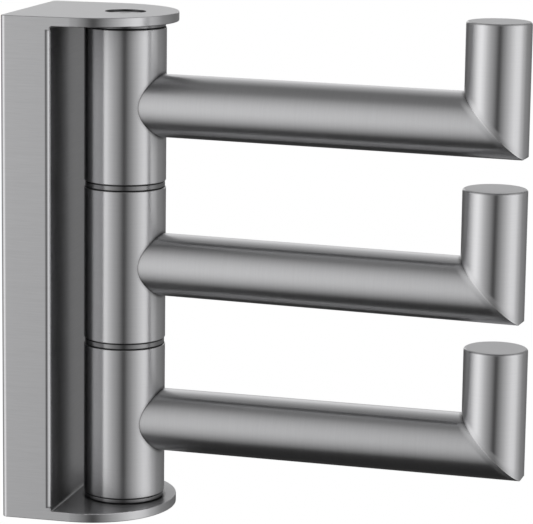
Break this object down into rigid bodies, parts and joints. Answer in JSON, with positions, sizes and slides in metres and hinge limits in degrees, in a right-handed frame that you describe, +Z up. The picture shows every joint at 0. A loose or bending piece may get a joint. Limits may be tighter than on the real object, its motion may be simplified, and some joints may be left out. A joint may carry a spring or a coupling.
{
  "type": "folding wall hook",
  "caption": "Wall hook with round swing arms on one upright axle, each ending in a mitred upright, held between the plates of a hollow-backed bracket.",
  "frame": {"origin": "middle of the face that lies against the wall", "axes": "+Z up, +Y into the wall, so the arms reach out towards -Y"},
  "size_m": [0.0266, 0.0821, 0.0814],
  "materials": {
    "satin_steel": "brushed stainless steel",
    "plain_steel": "plain pressed sheet",
    "turned_steel": "turned stainless steel",
    "washer_steel": "darkened turned steel"
  },
  "bodies": {
    "bracket": {"bracket": "satin_steel", "wall_plate": "plain_steel", "grub_screw": "turned_steel", "axle": "turned_steel", "top_screw": "turned_steel", "bottom_screw": "turned_steel", "top_washer": "washer_steel", "upper_washer": "washer_steel", "lower_washer": "washer_steel", "bottom_washer": "washer_steel"},
    "top_hook": {"barrel_top": "satin_steel", "arm_top": "satin_steel", "upright_top": "satin_steel"},
    "middle_hook": {"barrel_middle": "satin_steel", "arm_middle": "satin_steel", "upright_middle": "satin_steel"},
    "bottom_hook": {"barrel_bottom": "satin_steel", "arm_bottom": "satin_steel", "upright_bottom": "satin_steel"}
  },
  "joints": [
    {"name": "top_arm_swing", "type": "hinge", "parent": "bracket", "child": "top_hook", "pos_m": [0, -0.0163, 0.0255], "axis": [0, 0, 1], "range_deg": [-94, 106]},
    {"name": "middle_arm_swing", "type": "hinge", "parent": "bracket", "child": "middle_hook", "pos_m": [0, -0.0163, 0], "axis": [0, 0, 1], "range_deg": [-94.4, 105.6]},
    {"name": "bottom_arm_swing", "type": "hinge", "parent": "bracket", "child": "bottom_hook", "pos_m": [0, -0.0163, -0.0255], "axis": [0, 0, 1], "range_deg": [-97.8, 102.2]}
  ]
}
